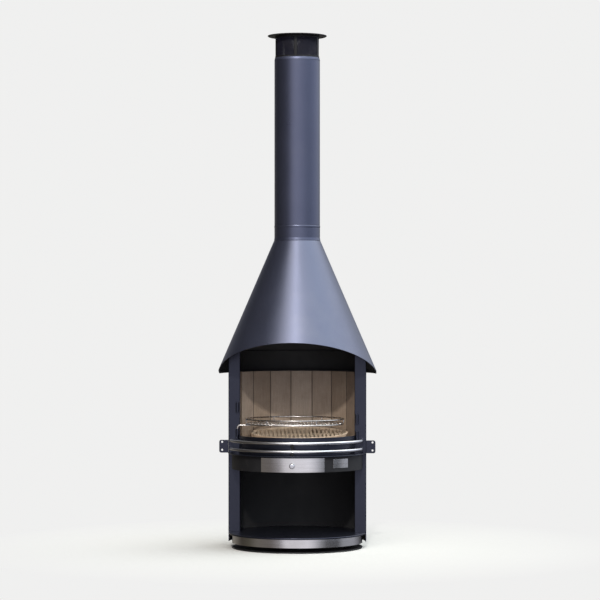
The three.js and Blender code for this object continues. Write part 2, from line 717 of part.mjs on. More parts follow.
makeBase();
makeHousing();
makeDrawer();
makeHearth();
makeLining();
makeGrate();
makeRails();
makeBrackets();
makeGrill();
makeHood();
makeFlue();
makeCap();

export default chiminea;
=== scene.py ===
"""Chiminea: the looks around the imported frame.

Metres, in the frame's own axes: origin under the base plate on the turning axis, +Z up, the open front at -Y.
Angles are in degrees, counted from the front and positive towards +X.
"""

import math

import bmesh
import bpy
from mathutils import Matrix, Vector


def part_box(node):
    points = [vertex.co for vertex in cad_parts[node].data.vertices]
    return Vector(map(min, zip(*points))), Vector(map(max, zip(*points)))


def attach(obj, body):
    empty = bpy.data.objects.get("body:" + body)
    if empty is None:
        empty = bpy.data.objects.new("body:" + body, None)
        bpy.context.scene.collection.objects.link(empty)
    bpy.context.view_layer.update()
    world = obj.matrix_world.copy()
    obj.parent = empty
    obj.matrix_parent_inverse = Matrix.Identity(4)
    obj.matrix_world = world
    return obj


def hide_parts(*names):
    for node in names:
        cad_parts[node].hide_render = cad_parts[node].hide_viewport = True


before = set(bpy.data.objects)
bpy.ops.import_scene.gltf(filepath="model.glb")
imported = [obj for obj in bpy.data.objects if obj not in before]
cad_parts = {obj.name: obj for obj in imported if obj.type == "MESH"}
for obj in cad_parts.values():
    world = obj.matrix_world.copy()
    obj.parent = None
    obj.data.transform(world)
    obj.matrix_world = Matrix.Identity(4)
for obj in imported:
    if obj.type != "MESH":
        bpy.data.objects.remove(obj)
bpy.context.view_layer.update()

SHEET = 0.003
GAP = 0.0003
BENT_EDGE = 0.0008


# ---------------------------------------------------------------- places taken from the frame
def low(node):
    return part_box(node)[0]


def high(node):
    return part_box(node)[1]


def outer_radius(node):
    return high(node).x


def middle(node):
    return (low(node) + high(node)) / 2


# ---------------------------------------------------------------- mesh building
class Solid:
    """Vertices and faces of one piece. A face's kind is the number of its material."""

    def __init__(self):
        self.verts, self.faces, self.kinds = [], [], []

    def add(self, verts, faces, kinds=0):
        base = len(self.verts)
        self.verts += [Vector(v) for v in verts]
        self.faces += [[base + i for i in face] for face in faces]
        self.kinds += [kinds] * len(faces) if isinstance(kinds, int) else kinds

    def make(self, name, matrix=None):
        mesh = bpy.data.meshes.new(name)
        mesh.from_pydata([tuple(v) for v in self.verts], [], self.faces)
        for polygon, kind in zip(mesh.polygons, self.kinds):
            polygon.material_index = kind
        if matrix is not None:
            mesh.transform(matrix)
        bm = bmesh.new()
        bm.from_mesh(mesh)
        bmesh.ops.remove_doubles(bm, verts=bm.verts, dist=1e-6)
        bmesh.ops.recalc_face_normals(bm, faces=bm.faces)
        bm.to_mesh(mesh)
        bm.free()
        obj = bpy.data.objects.new(name, mesh)
        bpy.context.scene.collection.objects.link(obj)
        return obj


def polar(radius, angle, z):
    a = math.radians(angle)
    return Vector((radius * math.sin(a), -radius * math.cos(a), z))


def spread(start, end, step):
    """Values from start to end in even steps of about the given size."""
    count = max(1, round(abs(end - start) / step))
    return [start + (end - start) * i / count for i in range(count + 1)]


def rounded(points, radius, steps=3):
    """A closed outline with every corner off the axis rounded."""
    result = []
    for index, point in enumerate(points):
        corner = Vector(point)
        if corner.x < 1e-9:
            result.append(corner)
            continue
        before = Vector(points[index - 1]) - corner
        after = Vector(points[(index + 1) % len(points)]) - corner
        half = before.angle(after) / 2
        if half > math.radians(88):
            result.append(corner)
            continue
        reach = min(radius / math.tan(half), 0.45 * before.length, 0.45 * after.length)
        start = corner + before.normalized() * reach
        end = corner + after.normalized() * reach
        for step in range(steps + 1):
            t = step / steps
            result.append(start * (1 - t) ** 2 + corner * 2 * t * (1 - t) + end * t * t)
    return result


def add_turned(solid, outline, segments=128, kind_of=lambda radius, z: 0):
    """A closed outline of (radius, z) points turned about the Z axis."""
    rings, verts = [], []
    for radius, z in outline:
        if radius < 1e-9:
            rings.append([len(verts)] * segments)
            verts.append((0, 0, z))
        else:
            rings.append(list(range(len(verts), len(verts) + segments)))
            verts += [polar(radius, 360 * i / segments, z) for i in range(segments)]
    faces, kinds = [], []
    for index, ring in enumerate(rings):
        following = rings[(index + 1) % len(rings)]
        (r0, z0), (r1, z1) = outline[index], outline[(index + 1) % len(outline)]
        if r0 < 1e-9 and r1 < 1e-9:
            continue
        for i in range(segments):
            j = (i + 1) % segments
            face = list(dict.fromkeys([ring[i], ring[j], following[j], following[i]]))
            faces.append(face)
            kinds.append(kind_of((r0 + r1) / 2, (z0 + z1) / 2))
    solid.add(verts, faces, kinds)


def add_sheet(solid, outer, inner, present=lambda i, j: True, closed=False, inner_kind=0):
    """A sheet between two grids of points, walled in along every edge where a cell is missing."""
    columns, rows = len(outer), len(outer[0])
    cells_across = columns if closed else columns - 1

    def there(i, j):
        if not 0 <= j < rows - 1:
            return False
        if closed:
            return present(i % columns, j)
        return 0 <= i < cells_across and present(i, j)

    verts = [p for column in outer for p in column] + [p for column in inner for p in column]
    offset = columns * rows

    def at(i, j):
        return (i % columns) * rows + j

    faces, kinds = [], []
    for i in range(cells_across):
        for j in range(rows - 1):
            if not there(i, j):
                continue
            a, b, c, d = at(i, j), at(i + 1, j), at(i + 1, j + 1), at(i, j + 1)
            faces += [[a, b, c, d], [offset + d, offset + c, offset + b, offset + a]]
            kinds += [0, inner_kind]
            neighbours = [((i, j - 1), a, b), ((i + 1, j), b, c), ((i, j + 1), c, d), ((i - 1, j), d, a)]
            for cell, start, end in neighbours:
                if not there(*cell):
                    faces.append([end, start, offset + start, offset + end])
                    kinds.append(0)
    used = sorted({i for face in faces for i in face})
    place = {old: new for new, old in enumerate(used)}
    solid.add([verts[i] for i in used], [[place[i] for i in face] for face in faces], kinds)


def add_band(solid, inner, outer, angles, heights, present=lambda i, j: True, inner_kind=0):
    """A curved sheet between two radii."""
    add_sheet(
        solid,
        [[polar(outer, a, z) for z in heights] for a in angles],
        [[polar(inner, a, z) for z in heights] for a in angles],
        present,
        inner_kind=inner_kind,
    )


def add_tube(solid, points, radius, sides=16, closed=False):
    """A round bar along a line of points, with domed ends."""
    points = [Vector(p) for p in points]
    count = len(points)
    tangents = []
    for i in range(count):
        ahead = points[(i + 1) % count] if closed or i < count - 1 else points[i]
        behind = points[i - 1] if closed or i > 0 else points[i]
        tangents.append((ahead - behind).normalized())
    normal = tangents[0].orthogonal().normalized()
    sections = []
    for point, tangent in zip(points, tangents):
        normal = (normal - tangent * normal.dot(tangent)).normalized()
        sections.append((point, tangent, normal, radius))
    if not closed:
        dome = 0.35
        first, last = sections[0], sections[-1]
        caps = [(0.0, 0.62), (0.35, 0.88)]
        start = [
            (first[0] + first[1] * radius * dome * t, first[1], first[2], radius * w) for t, w in caps
        ]
        end = [
            (last[0] - last[1] * radius * dome * t, last[1], last[2], radius * w) for t, w in caps[::-1]
        ]
        first = (first[0] + first[1] * radius * dome, first[1], first[2], radius)
        last = (last[0] - last[1] * radius * dome, last[1], last[2], radius)
        sections = [*start, first, *sections[1:-1], last, *end]
    verts = []
    for point, tangent, normal, size in sections:
        side = tangent.cross(normal)
        for i in range(sides):
            a = 2 * math.pi * i / sides
            verts.append(point + (normal * math.cos(a) + side * math.sin(a)) * size)
    faces = []
    spans = len(sections) if closed else len(sections) - 1
    for s in range(spans):
        for i in range(sides):
            j = (i + 1) % sides
            near, far = s * sides, ((s + 1) % len(sections)) * sides
            faces.append([near + i, near + j, far + j, far + i])
    if not closed:
        faces.append(list(range(sides))[::-1])
        faces.append([(len(sections) - 1) * sides + i for i in range(sides)])
    solid.add(verts, faces)


def add_block(solid, low_corner, high_corner, matrix=None):
    xs, ys, zs = zip(low_corner, high_corner)
    verts = [Vector((x, y, z)) for x in xs for y in ys for z in zs]
    if matrix is not None:
        verts = [matrix @ v for v in verts]
    faces = [[0, 1, 3, 2], [4, 6, 7, 5], [0, 4, 5, 1], [2, 3, 7, 6], [0, 2, 6, 4], [1, 5, 7, 3]]
    solid.add(verts, faces)


def plate(name, loops, bottom, top, matrix=None):
    """A flat plate from an outline and its holes, each a list of (x, y) points."""
    bm = bmesh.new()
    for loop in loops:
        verts = [bm.verts.new((x, y, bottom)) for x, y in loop]
        for i, vert in enumerate(verts):
            bm.edges.new((vert, verts[(i + 1) % len(verts)]))
    bmesh.ops.triangle_fill(bm, use_beauty=True, edges=bm.edges[:])
    grown = bmesh.ops.extrude_face_region(bm, geom=bm.faces[:])["geom"]
    lifted = [item for item in grown if isinstance(item, bmesh.types.BMVert)]
    bmesh.ops.translate(bm, vec=(0, 0, top - bottom), verts=lifted)
    if matrix is not None:
        bmesh.ops.transform(bm, matrix=matrix, verts=bm.verts)
    bmesh.ops.recalc_face_normals(bm, faces=bm.faces)
    mesh = bpy.data.meshes.new(name)
    bm.to_mesh(mesh)
    bm.free()
    obj = bpy.data.objects.new(name, mesh)
    bpy.context.scene.collection.objects.link(obj)
    return obj


def arc(cx, cy, radius, start, end, step=6):
    return [
        (cx + radius * math.cos(math.radians(a)), cy + radius * math.sin(math.radians(a)))
        for a in spread(start, end, step)
    ]


def settle(obj, body, materials, nodes=(), edge=0.0, sharp=35):
    """Rounds the edges, evens the shading, gives the piece its materials, ties it to its body and hides the
    CAD nodes that it stands in for.
    """
    for material in materials if isinstance(materials, (list, tuple)) else [materials]:
        obj.data.materials.append(material)
    obj.data.shade_smooth()
    if edge:
        bevel = obj.modifiers.new("edge_round", "BEVEL")
        bevel.width = edge
        bevel.segments = 2
        bevel.limit_method = "ANGLE"
        bevel.angle_limit = math.radians(sharp)
    normals = obj.modifiers.new("even_normals", "WEIGHTED_NORMAL")
    normals.keep_sharp = True
    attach(obj, body)
    if nodes:
        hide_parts(*nodes)
    return obj


def dress(node, material, edge=0.0004):
    """Gives a CAD node its finished material and softened edges."""
    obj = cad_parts[node]
    obj.data.materials.clear()
    obj.data.materials.append(material)
    weld = obj.modifiers.new("weld", "WELD")
    weld.merge_threshold = 1e-5
    bevel = obj.modifiers.new("edge_round", "BEVEL")
    bevel.width = edge
    bevel.segments = 3
    bevel.limit_method = "ANGLE"
    bevel.angle_limit = math.radians(35)
    obj.modifiers.new("even_normals", "WEIGHTED_NORMAL")
    return obj


# ---------------------------------------------------------------- materials
class Shade:
    """A material under construction: its Principled surface and the nodes that feed it."""

    def __init__(self, name, **values):
        self.material = bpy.data.materials.new(name)
        self.material.use_nodes = True
        self.tree = self.material.node_tree
        self.surface = self.tree.nodes["Principled BSDF"]
        for key, value in values.items():
            self.surface.inputs[key.replace("_", " ")].default_value = value
        self.place = self.tree.nodes.new("ShaderNodeTexCoord").outputs["Object"]

    def link(self, source, target):
        self.tree.links.new(source, target)

    def feed(self, socket, value):
        if isinstance(value, bpy.types.NodeSocket):
            self.link(value, socket)
        else:
            socket.default_value = value

    def sum(self, operation, first, second=0.0, third=0.0):
        node = self.tree.nodes.new("ShaderNodeMath")
        node.operation = operation
        for socket, value in zip(node.inputs, (first, second, third)):
            self.feed(socket, value)
        return node.outputs[0]

    def parts(self, vector):
        node = self.tree.nodes.new("ShaderNodeSeparateXYZ")
        self.link(vector, node.inputs[0])
        return node.outputs

    def vector(self, x, y, z):
        node = self.tree.nodes.new("ShaderNodeCombineXYZ")
        for socket, value in zip(node.inputs, (x, y, z)):
            self.feed(socket, value)
        return node.outputs[0]

    def noise(self, scale, detail=3.0, roughness=0.5, vector=None):
        node = self.tree.nodes.new("ShaderNodeTexNoise")
        node.inputs["Scale"].default_value = scale
        node.inputs["Detail"].default_value = detail
        node.inputs["Roughness"].default_value = roughness
        self.link(vector or self.place, node.inputs["Vector"])
        return node.outputs[0]

    def cells(self, scale, vector=None, feature="F1"):
        node = self.tree.nodes.new("ShaderNodeTexVoronoi")
        node.feature = feature
        node.inputs["Scale"].default_value = scale
        self.link(vector or self.place, node.inputs["Vector"])
        return node.outputs["Distance"]

    def ramp(self, value, *stops):
        node = self.tree.nodes.new("ShaderNodeValToRGB")
        elements = node.color_ramp.elements
        while len(elements) < len(stops):
            elements.new(0.5)
        for element, (position, colour) in zip(elements, stops):
            element.position = position
            element.color = (*colour, 1) if len(colour) == 3 else colour
        self.link(value, node.inputs[0])
        return node.outputs[0]

    def scaled(self, value, from_low, from_high, to_low, to_high):
        node = self.tree.nodes.new("ShaderNodeMapRange")
        self.link(value, node.inputs[0])
        for socket, number in zip(node.inputs[1:5], (from_low, from_high, to_low, to_high)):
            socket.default_value = number
        return node.outputs[0]

    def mixed(self, share, first, second, blend="MIX"):
        node = self.tree.nodes.new("ShaderNodeMix")
        node.data_type = "RGBA"
        node.blend_type = blend
        self.feed(node.inputs[0], share)
        self.feed(node.inputs[6], first if not isinstance(first, tuple) else (*first, 1))
        self.feed(node.inputs[7], second if not isinstance(second, tuple) else (*second, 1))
        return node.outputs[2]

    def bump(self, height, distance, strength=1.0, below=None):
        node = self.tree.nodes.new("ShaderNodeBump")
        node.inputs["Strength"].default_value = strength
        node.inputs["Distance"].default_value = distance
        self.link(height, node.inputs["Height"])
        if below is not None:
            self.link(below, node.inputs["Normal"])
        return node.outputs[0]

    def around(self, radius):
        """Place as (distance along the circle, height), for grain that follows a turned surface."""
        x, y, z = self.parts(self.place)
        angle = self.sum("ARCTAN2", x, self.sum("MULTIPLY", y, -1.0))
        return self.sum("MULTIPLY", angle, radius), z

    def finish(self, colour=None, roughness=None, normal=None):
        if colour is not None:
            self.link(colour, self.surface.inputs["Base Color"])
        if roughness is not None:
            self.link(roughness, self.surface.inputs["Roughness"])
        if normal is not None:
            self.link(normal, self.surface.inputs["Normal"])
        return self.material


def body_paint(name="body_paint", depth=1.0, smooth=0.27, coat=0.35):
    """Heat-resistant metallic paint, dark blue grey, satin. depth scales the base colour: below 1 it gives a
    darker copy with painted shade, above 1 a lighter copy with a painted highlight.
    """
    shade = Shade(name, Metallic=0.8, Coat_Weight=coat, Coat_Roughness=0.24)
    pale, deep = (0.084, 0.093, 0.142), (0.072, 0.08, 0.124)
    tone = shade.noise(2.2, 4.0, 0.6)
    flakes = shade.noise(2600.0, 1.0, 0.5)
    base = shade.ramp(tone, (0.3, tuple(c * depth for c in deep)), (0.7, tuple(c * depth for c in pale)))
    sparkle = shade.ramp(flakes, (0.42, (0.82, 0.82, 0.84)), (0.62, (1.14, 1.14, 1.16)))
    colour = shade.mixed(1.0, base, sparkle, "MULTIPLY")
    dust = shade.ramp(shade.noise(7.0, 6.0, 0.65), (0.52, (0, 0, 0)), (0.8, (1, 1, 1)))
    colour = shade.mixed(shade.sum("MULTIPLY", dust, 0.05), colour, (0.3 * depth, 0.29 * depth, 0.28 * depth))
    roughness = shade.scaled(shade.noise(9.0, 5.0, 0.6), 0.3, 0.7, smooth, smooth + 0.08)
    peel = shade.bump(shade.noise(420.0, 2.0, 0.5), 0.00006, 0.6)
    return shade.finish(colour, roughness, shade.bump(flakes, 0.00002, 0.35, peel))


def soot(name="soot_black", tone=0.018):
    """The inside of sheet parts: black heat-resistant paint under soot."""
    shade = Shade(name, Metallic=0.0)
    patches = shade.noise(9.0, 6.0, 0.65)
    colour = shade.ramp(
        patches, (0.3, (tone * 0.55,) * 3), (0.62, (tone, tone, tone * 1.05)), (0.82, (tone * 2.1,) * 3)
    )
    roughness = shade.scaled(patches, 0.3, 0.7, 0.62, 0.88)
    return shade.finish(colour, roughness, shade.bump(shade.noise(300.0, 4.0, 0.6), 0.0002, 0.5))


def black_paint(name="black_paint", blue=1.0):
    """Matt black paint with a fine texture and a breath of dust."""
    shade = Shade(name, Metallic=0.0, Specular_IOR_Level=0.2)
    grain = shade.noise(900.0, 2.0, 0.5)
    cloud = shade.noise(6.0, 5.0, 0.6)
    colour = shade.ramp(cloud, (0.3, (0.010, 0.010, 0.011 * blue)), (0.7, (0.016, 0.0155, 0.0165 * blue)))
    dust = shade.ramp(shade.noise(18.0, 6.0, 0.7), (0.55, (0, 0, 0)), (0.85, (1, 1, 1)))
    colour = shade.mixed(shade.sum("MULTIPLY", dust, 0.06), colour, (0.3, 0.27, 0.23))
    roughness = shade.scaled(cloud, 0.3, 0.7, 0.44, 0.56)
    return shade.finish(colour, roughness, shade.bump(grain, 0.00008, 0.6))


def brushed(name, radius):
    """Stainless sheet brushed along the circle that it is bent to."""
    shade = Shade(name, Metallic=1.0, Anisotropic=0.35, Anisotropic_Rotation=0.25)
    along, z = shade.around(radius)
    stretched = shade.vector(shade.sum("MULTIPLY", along, 6.0), 0.0, shade.sum("MULTIPLY", z, 900.0))
    fine = shade.noise(1.0, 4.0, 0.7, stretched)
    broad = shade.noise(
        1.0, 2.0, 0.5, shade.vector(shade.sum("MULTIPLY", along, 2.0), 0.0, shade.sum("MULTIPLY", z, 160.0))
    )
    colour = shade.ramp(fine, (0.3, (0.58, 0.57, 0.57)), (0.7, (0.74, 0.73, 0.73)))
    smear = shade.ramp(shade.noise(11.0, 4.0, 0.6), (0.45, (1, 1, 1)), (0.8, (0.88, 0.87, 0.85)))
    colour = shade.mixed(1.0, colour, smear, "MULTIPLY")
    roughness = shade.scaled(shade.sum("ADD", shade.sum("MULTIPLY", broad, 0.4), fine), 0.45, 1.0, 0.13, 0.2)
    tangent = shade.tree.nodes.new("ShaderNodeTangent")
    tangent.direction_type = "RADIAL"
    tangent.axis = "Z"
    shade.link(tangent.outputs[0], shade.surface.inputs["Tangent"])
    return shade.finish(colour, roughness, shade.bump(fine, 0.00002, 0.35))


def chrome(name="chrome", tint=(0.6, 0.6, 0.62), smooth=0.17, dirty=0.3):
    """Bright plating with faint hand marks."""
    shade = Shade(name, Metallic=1.0)
    marks = shade.noise(35.0, 6.0, 0.65)
    colour = shade.ramp(marks, (0.35, tint), (0.8, tuple(c * 0.86 for c in tint)))
    roughness = shade.scaled(marks, 0.35, 0.85, smooth, dirty)
    return shade.finish(colour, roughness, shade.bump(shade.noise(160.0, 2.0, 0.5), 0.00003, 0.3))


def plain_steel():
    """Rolled steel with a dull zinc bloom."""
    shade = Shade("plain_steel", Metallic=0.9)
    bloom = shade.cells(70.0)
    colour = shade.ramp(bloom, (0.1, (0.2, 0.205, 0.21)), (0.7, (0.3, 0.31, 0.32)))
    roughness = shade.scaled(shade.noise(25.0, 4.0, 0.6), 0.3, 0.7, 0.35, 0.6)
    return shade.finish(colour, roughness, shade.bump(shade.noise(500.0, 3.0, 0.5), 0.00005, 0.5))


def chamotte(name, tint, joint_pitch=0.0):
    """Fired clay: sandy grain, pores, stains, smoke towards the top, soot in the joints of a lining."""
    shade = Shade(name, Metallic=0.0)
    clouds = shade.noise(14.0, 6.0, 0.62)
    light = tuple(c * 1.12 for c in tint)
    dark = tuple(c * 0.84 for c in tint)
    colour = shade.ramp(clouds, (0.28, dark), (0.5, tint), (0.74, light))
    sand = shade.noise(620.0, 3.0, 0.6)
    speckle = shade.ramp(sand, (0.36, (0.8, 0.78, 0.76)), (0.62, (1.08, 1.08, 1.08)))
    colour = shade.mixed(1.0, colour, speckle, "MULTIPLY")
    pores = shade.ramp(shade.cells(210.0), (0.05, (1, 1, 1)), (0.13, (0, 0, 0)))
    patches = shade.ramp(shade.noise(30.0), (0.5, (0, 0, 0)), (0.6, (1, 1, 1)))
    pore_mask = shade.sum("MULTIPLY", pores, patches)
    colour = shade.mixed(shade.sum("MULTIPLY", pore_mask, 0.5), colour, (0.09, 0.07, 0.05))
    x, y, z = shade.parts(shade.place)
    upright = shade.noise(1.0, 4.0, 0.6, shade.vector(
        shade.sum("MULTIPLY", x, 260.0), shade.sum("MULTIPLY", y, 260.0), shade.sum("MULTIPLY", z, 14.0)
    ))
    drawn = shade.ramp(upright, (0.35, (0.88, 0.87, 0.86)), (0.62, (1.04, 1.04, 1.04)))
    colour = shade.mixed(1.0, colour, drawn, "MULTIPLY")
    smoke_height = shade.scaled(z, 0.6, 0.79, 0.0, 0.75)
    drift = shade.scaled(shade.noise(6.0, 5.0, 0.6), 0.35, 0.7, 0.25, 1.0)
    smoke = shade.sum("MULTIPLY", smoke_height, drift)
    colour = shade.mixed(smoke, colour, tuple(c * 0.5 for c in tint))
    if joint_pitch:
        turned = shade.sum("DIVIDE", shade.sum("ARCTAN2", x, y), joint_pitch)
        aside = shade.sum("ABSOLUTE", shade.sum("SUBTRACT", shade.sum("FRACT", turned), 0.5))
        colour = shade.mixed(shade.scaled(aside, 0.012, 0.034, 0.8, 0.0), colour, (0.05, 0.038, 0.028))
    height = shade.sum("ADD", shade.sum("MULTIPLY", sand, 0.5), shade.sum("MULTIPLY", pore_mask, -1.2))
    normal = shade.bump(height, 0.0004, 0.6, shade.bump(shade.noise(45.0, 3.0, 0.5), 0.0009, 0.5))
    roughness = shade.scaled(sand, 0.3, 0.7, 0.82, 0.96)
    return shade.finish(colour, roughness, normal)


def cast_grate():
    """Rough casting under pale ash."""
    shade = Shade("grate_iron", Metallic=0.0)
    clouds = shade.noise(28.0, 6.0, 0.65)
    colour = shade.ramp(
        clouds, (0.3, (0.42, 0.315, 0.22)), (0.55, (0.58, 0.455, 0.335)), (0.78, (0.68, 0.56, 0.42))
    )
    pits = shade.noise(420.0, 4.0, 0.65)
    pitted = shade.ramp(pits, (0.35, (0.7, 0.68, 0.66)), (0.6, (1.05, 1.05, 1.05)))
    colour = shade.mixed(1.0, colour, pitted, "MULTIPLY")
    roughness = shade.scaled(clouds, 0.3, 0.7, 0.75, 0.95)
    return shade.finish(colour, roughness, shade.bump(pits, 0.0006, 0.7))


PAINT = body_paint()
# Darker copy of the body paint for posts, apron, log floor, shelf, brackets and sleeves: painted shade.
SHADED_LOW_PAINT = body_paint("body_paint_shaded_low", 0.32, 0.27, 0.12)
# Somewhat darker copy of the body paint for the back shell: painted shade, between the body paint and the
# lower copy.
SHADED_SHELL_PAINT = body_paint("body_paint_shaded_shell", 0.75, 0.27, 0.25)
# Slightly lighter copy of the body paint for the cap rim: painted highlight; it is also rougher and has no
# coat.
LIT_RIM_PAINT = body_paint("body_paint_lit_rim", 1.1, 0.42, 0.0)
SOOT = soot()
STORE_BLACK = soot("store_black", 0.016)
BLACK = black_paint()
MESH_BLACK = black_paint("guard_black", 1.7)
STEEL = plain_steel()
RAIL_CHROME = chrome()
GRILL_CHROME = chrome("grill_chrome", (0.5, 0.48, 0.47), 0.2, 0.38)
DRUM_STAINLESS = brushed("stainless_front", 0.29)
BRICK_TINTS = {
    "pale": (0.47, 0.385, 0.305),
    "sand": (0.42, 0.335, 0.26),
    "brown": (0.35, 0.27, 0.2),
    "dark": (0.28, 0.212, 0.158),
}
BRICK_PITCH = math.radians(20.8)
BRICKS = {key: chamotte(f"chamotte_{key}", tint, BRICK_PITCH) for key, tint in BRICK_TINTS.items()}
TILES = chamotte("chamotte_tiles", BRICK_TINTS["pale"])
# Brick tones from left to right: partly each brick's own tone, partly painted light and shade, lightest in
# the middle and darkest on the right.
LINING_TONES_AND_SHADE = ["brown", "sand", "brown", "sand", "pale", "sand", "brown", "dark", "dark"]
GRATE = cast_grate()


# ---------------------------------------------------------------- base, plinth and log store
def base_and_plinth():
    for node, name, edge, material in (
        ("base_plate", "base_disc", 0.0012, BLACK),
        ("log_floor", "log_floor_pan", 0.0028, SHADED_LOW_PAINT),
    ):
        radius, bottom, top = outer_radius(node), low(node).z, high(node).z
        outline = rounded([(0, bottom), (radius, bottom), (radius, top), (0, top)], edge, 5)
        solid = Solid()
        add_turned(solid, outline, 180)
        settle(solid.make(name), "base" if node == "base_plate" else "body", material, [node])

    radius = -low("plinth_band").y
    reach = math.degrees(math.asin(high("plinth_band").x / radius))
    solid = Solid()
    add_band(
        solid, radius - 0.0025, radius, spread(-reach, reach, 1.5),
        [low("plinth_band").z, middle("plinth_band").z, high("plinth_band").z],
    )
    settle(solid.make("plinth_sheet"), "body", DRUM_STAINLESS, ["plinth_band"], 0.0006)

    for node in ("turntable_lower_plate", "turntable_upper_plate", "pivot_bolt", "floor_riser"):
        dress(node, STEEL)


def shell_and_posts():
    radius = outer_radius("back_shell")
    solid = Solid()
    add_band(
        solid, radius - SHEET, radius, spread(90.1, 269.9, 1.5),
        spread(low("back_shell").z, high("back_shell").z, 0.085), inner_kind=1,
    )
    shell = solid.make("shell_sheet")
    settle(shell, "body", [SHADED_SHELL_PAINT, STORE_BLACK], ["back_shell"], BENT_EDGE)

    for node, side in (("front_post_left", -1), ("front_post_right", 1)):
        inner, outer = sorted((abs(low(node).x), abs(high(node).x)))
        front, back = low(node).y, high(node).y
        bend = 0.0035
        outline = [
            (inner, back),
            *arc(inner + bend, front + bend, bend, 180, 270, 15),
            *arc(outer - bend, front + bend, bend, 270, 360, 15),
            (outer, 0.0),
            (inner + SHEET, 0.0),
            (inner + SHEET, back),
        ]
        outline = [(side * x, y) for x, y in outline]
        post = plate(f"{node}_sheet", [outline], low(node).z, high(node).z)
        settle(post, "body", SHADED_LOW_PAINT, [node], 0.0004)


# ---------------------------------------------------------------- ash drawer and its drum
def drawer():
    radius = -low("drawer_fascia").y
    reach = math.degrees(math.asin(high("drawer_fascia").x / radius)) - 0.3
    opening = 0.125
    opening_angle = math.degrees(math.asin(opening / radius))
    bottom, top = low("drawer_fascia").z, high("drawer_fascia").z
    sill, lintel = bottom + 0.0042, top - 0.0057
    angles = sorted({*spread(-reach, -opening_angle, 1.5), *spread(-opening_angle, opening_angle, 1.5),
                     *spread(opening_angle, reach, 1.5)})
    heights = [bottom, sill, lintel, top]

    def present(i, j):
        centre = (angles[i] + angles[i + 1]) / 2
        return not (abs(centre) < opening_angle and j == 1)

    solid = Solid()
    add_band(solid, radius - SHEET, radius, angles, heights, present, inner_kind=1)
    drum = solid.make("drum_sheet")
    settle(drum, "body", [BLACK, STORE_BLACK], ["drawer_fascia"], BENT_EDGE)

    front = low("drawer_front")
    half = high("drawer_front").x
    front_radius = -front.y
    half_angle = math.degrees(math.asin(half / front_radius))
    solid = Solid()
    add_band(
        solid, front_radius - 0.0025, front_radius, spread(-half_angle, half_angle, 1.2),
        [front.z, middle("drawer_front").z, high("drawer_front").z],
    )
    settle(solid.make("drawer_face"), "ash_drawer", DRUM_STAINLESS, ["drawer_front"], 0.0007)

    knob = middle("drawer_knob")
    length = high("drawer_knob").y - low("drawer_knob").y
    grip = outer_radius("drawer_knob")
    outline = rounded([
        (0, 0), (0.0058, 0), (0.0058, 0.0015), (0.0042, 0.003), (0.0042, 0.009), (grip * 0.82, 0.0125),
        (grip, 0.0155), (grip, 0.0195), (grip * 0.8, length * 0.94), (0, length),
    ], 0.0016, 4)
    solid = Solid()
    add_turned(solid, outline, 48)
    place = Matrix.Translation((0, high("drawer_knob").y, knob.z)) @ Matrix.Rotation(math.pi / 2, 4, "X")
    settle(solid.make("knob_turning", place), "ash_drawer", RAIL_CHROME, ["drawer_knob"])

    badge_low, badge_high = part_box("name_plate")
    badge_radius = radius + 3 * GAP + 0.0012
    angle_from = math.degrees(math.asin(badge_low.x / (badge_radius - 0.0012)))
    angle_to = math.degrees(math.asin(badge_high.x / badge_radius))
    solid = Solid()
    add_band(
        solid, badge_radius - 0.0012, badge_radius, spread(angle_from, angle_to, 1.0),
        [badge_low.z, middle("name_plate").z, badge_high.z],
    )
    settle(solid.make("blank_plate"), "body", DRUM_STAINLESS, ["name_plate"], 0.0004)

    dress("ash_tray", BLACK)
    dress("drawer_deck", BLACK)
    for node in ("drawer_runner_left", "drawer_runner_right"):
        dress(node, STEEL)


# ---------------------------------------------------------------- hearth
def notched_outline(front_radius, back_radius):
    """Outline of a plate that fits round both L-shaped posts, going round counter-clockwise from the left."""
    inner, outer = high("front_post_left").x, SHEET
    post_inner = abs(inner) - GAP
    leg = post_inner + outer + 2 * GAP
    front_line = low("front_post_left").y - GAP
    leg_end = high("front_post_left").y + GAP
    front_corner = math.degrees(math.acos(-front_line / front_radius))
    right = [
        (front_radius * math.sin(math.radians(a)), -front_radius * math.cos(math.radians(a)))
        for a in spread(0, front_corner, 1.5)
    ]
    right += [(post_inner, front_line), (post_inner, leg_end), (leg, leg_end), (leg, GAP)]
    back_corner = 90 + math.degrees(math.asin(GAP / back_radius))
    right += [
        (back_radius * math.sin(math.radians(a)), -back_radius * math.cos(math.radians(a)))
        for a in spread(back_corner, 180, 1.5)
    ]
    if front_radius < post_inner + GAP:
        right = [p for p in right if p != (post_inner, front_line)]
    left = [(-x, y) for x, y in reversed(right[1:-1])]
    return right + left


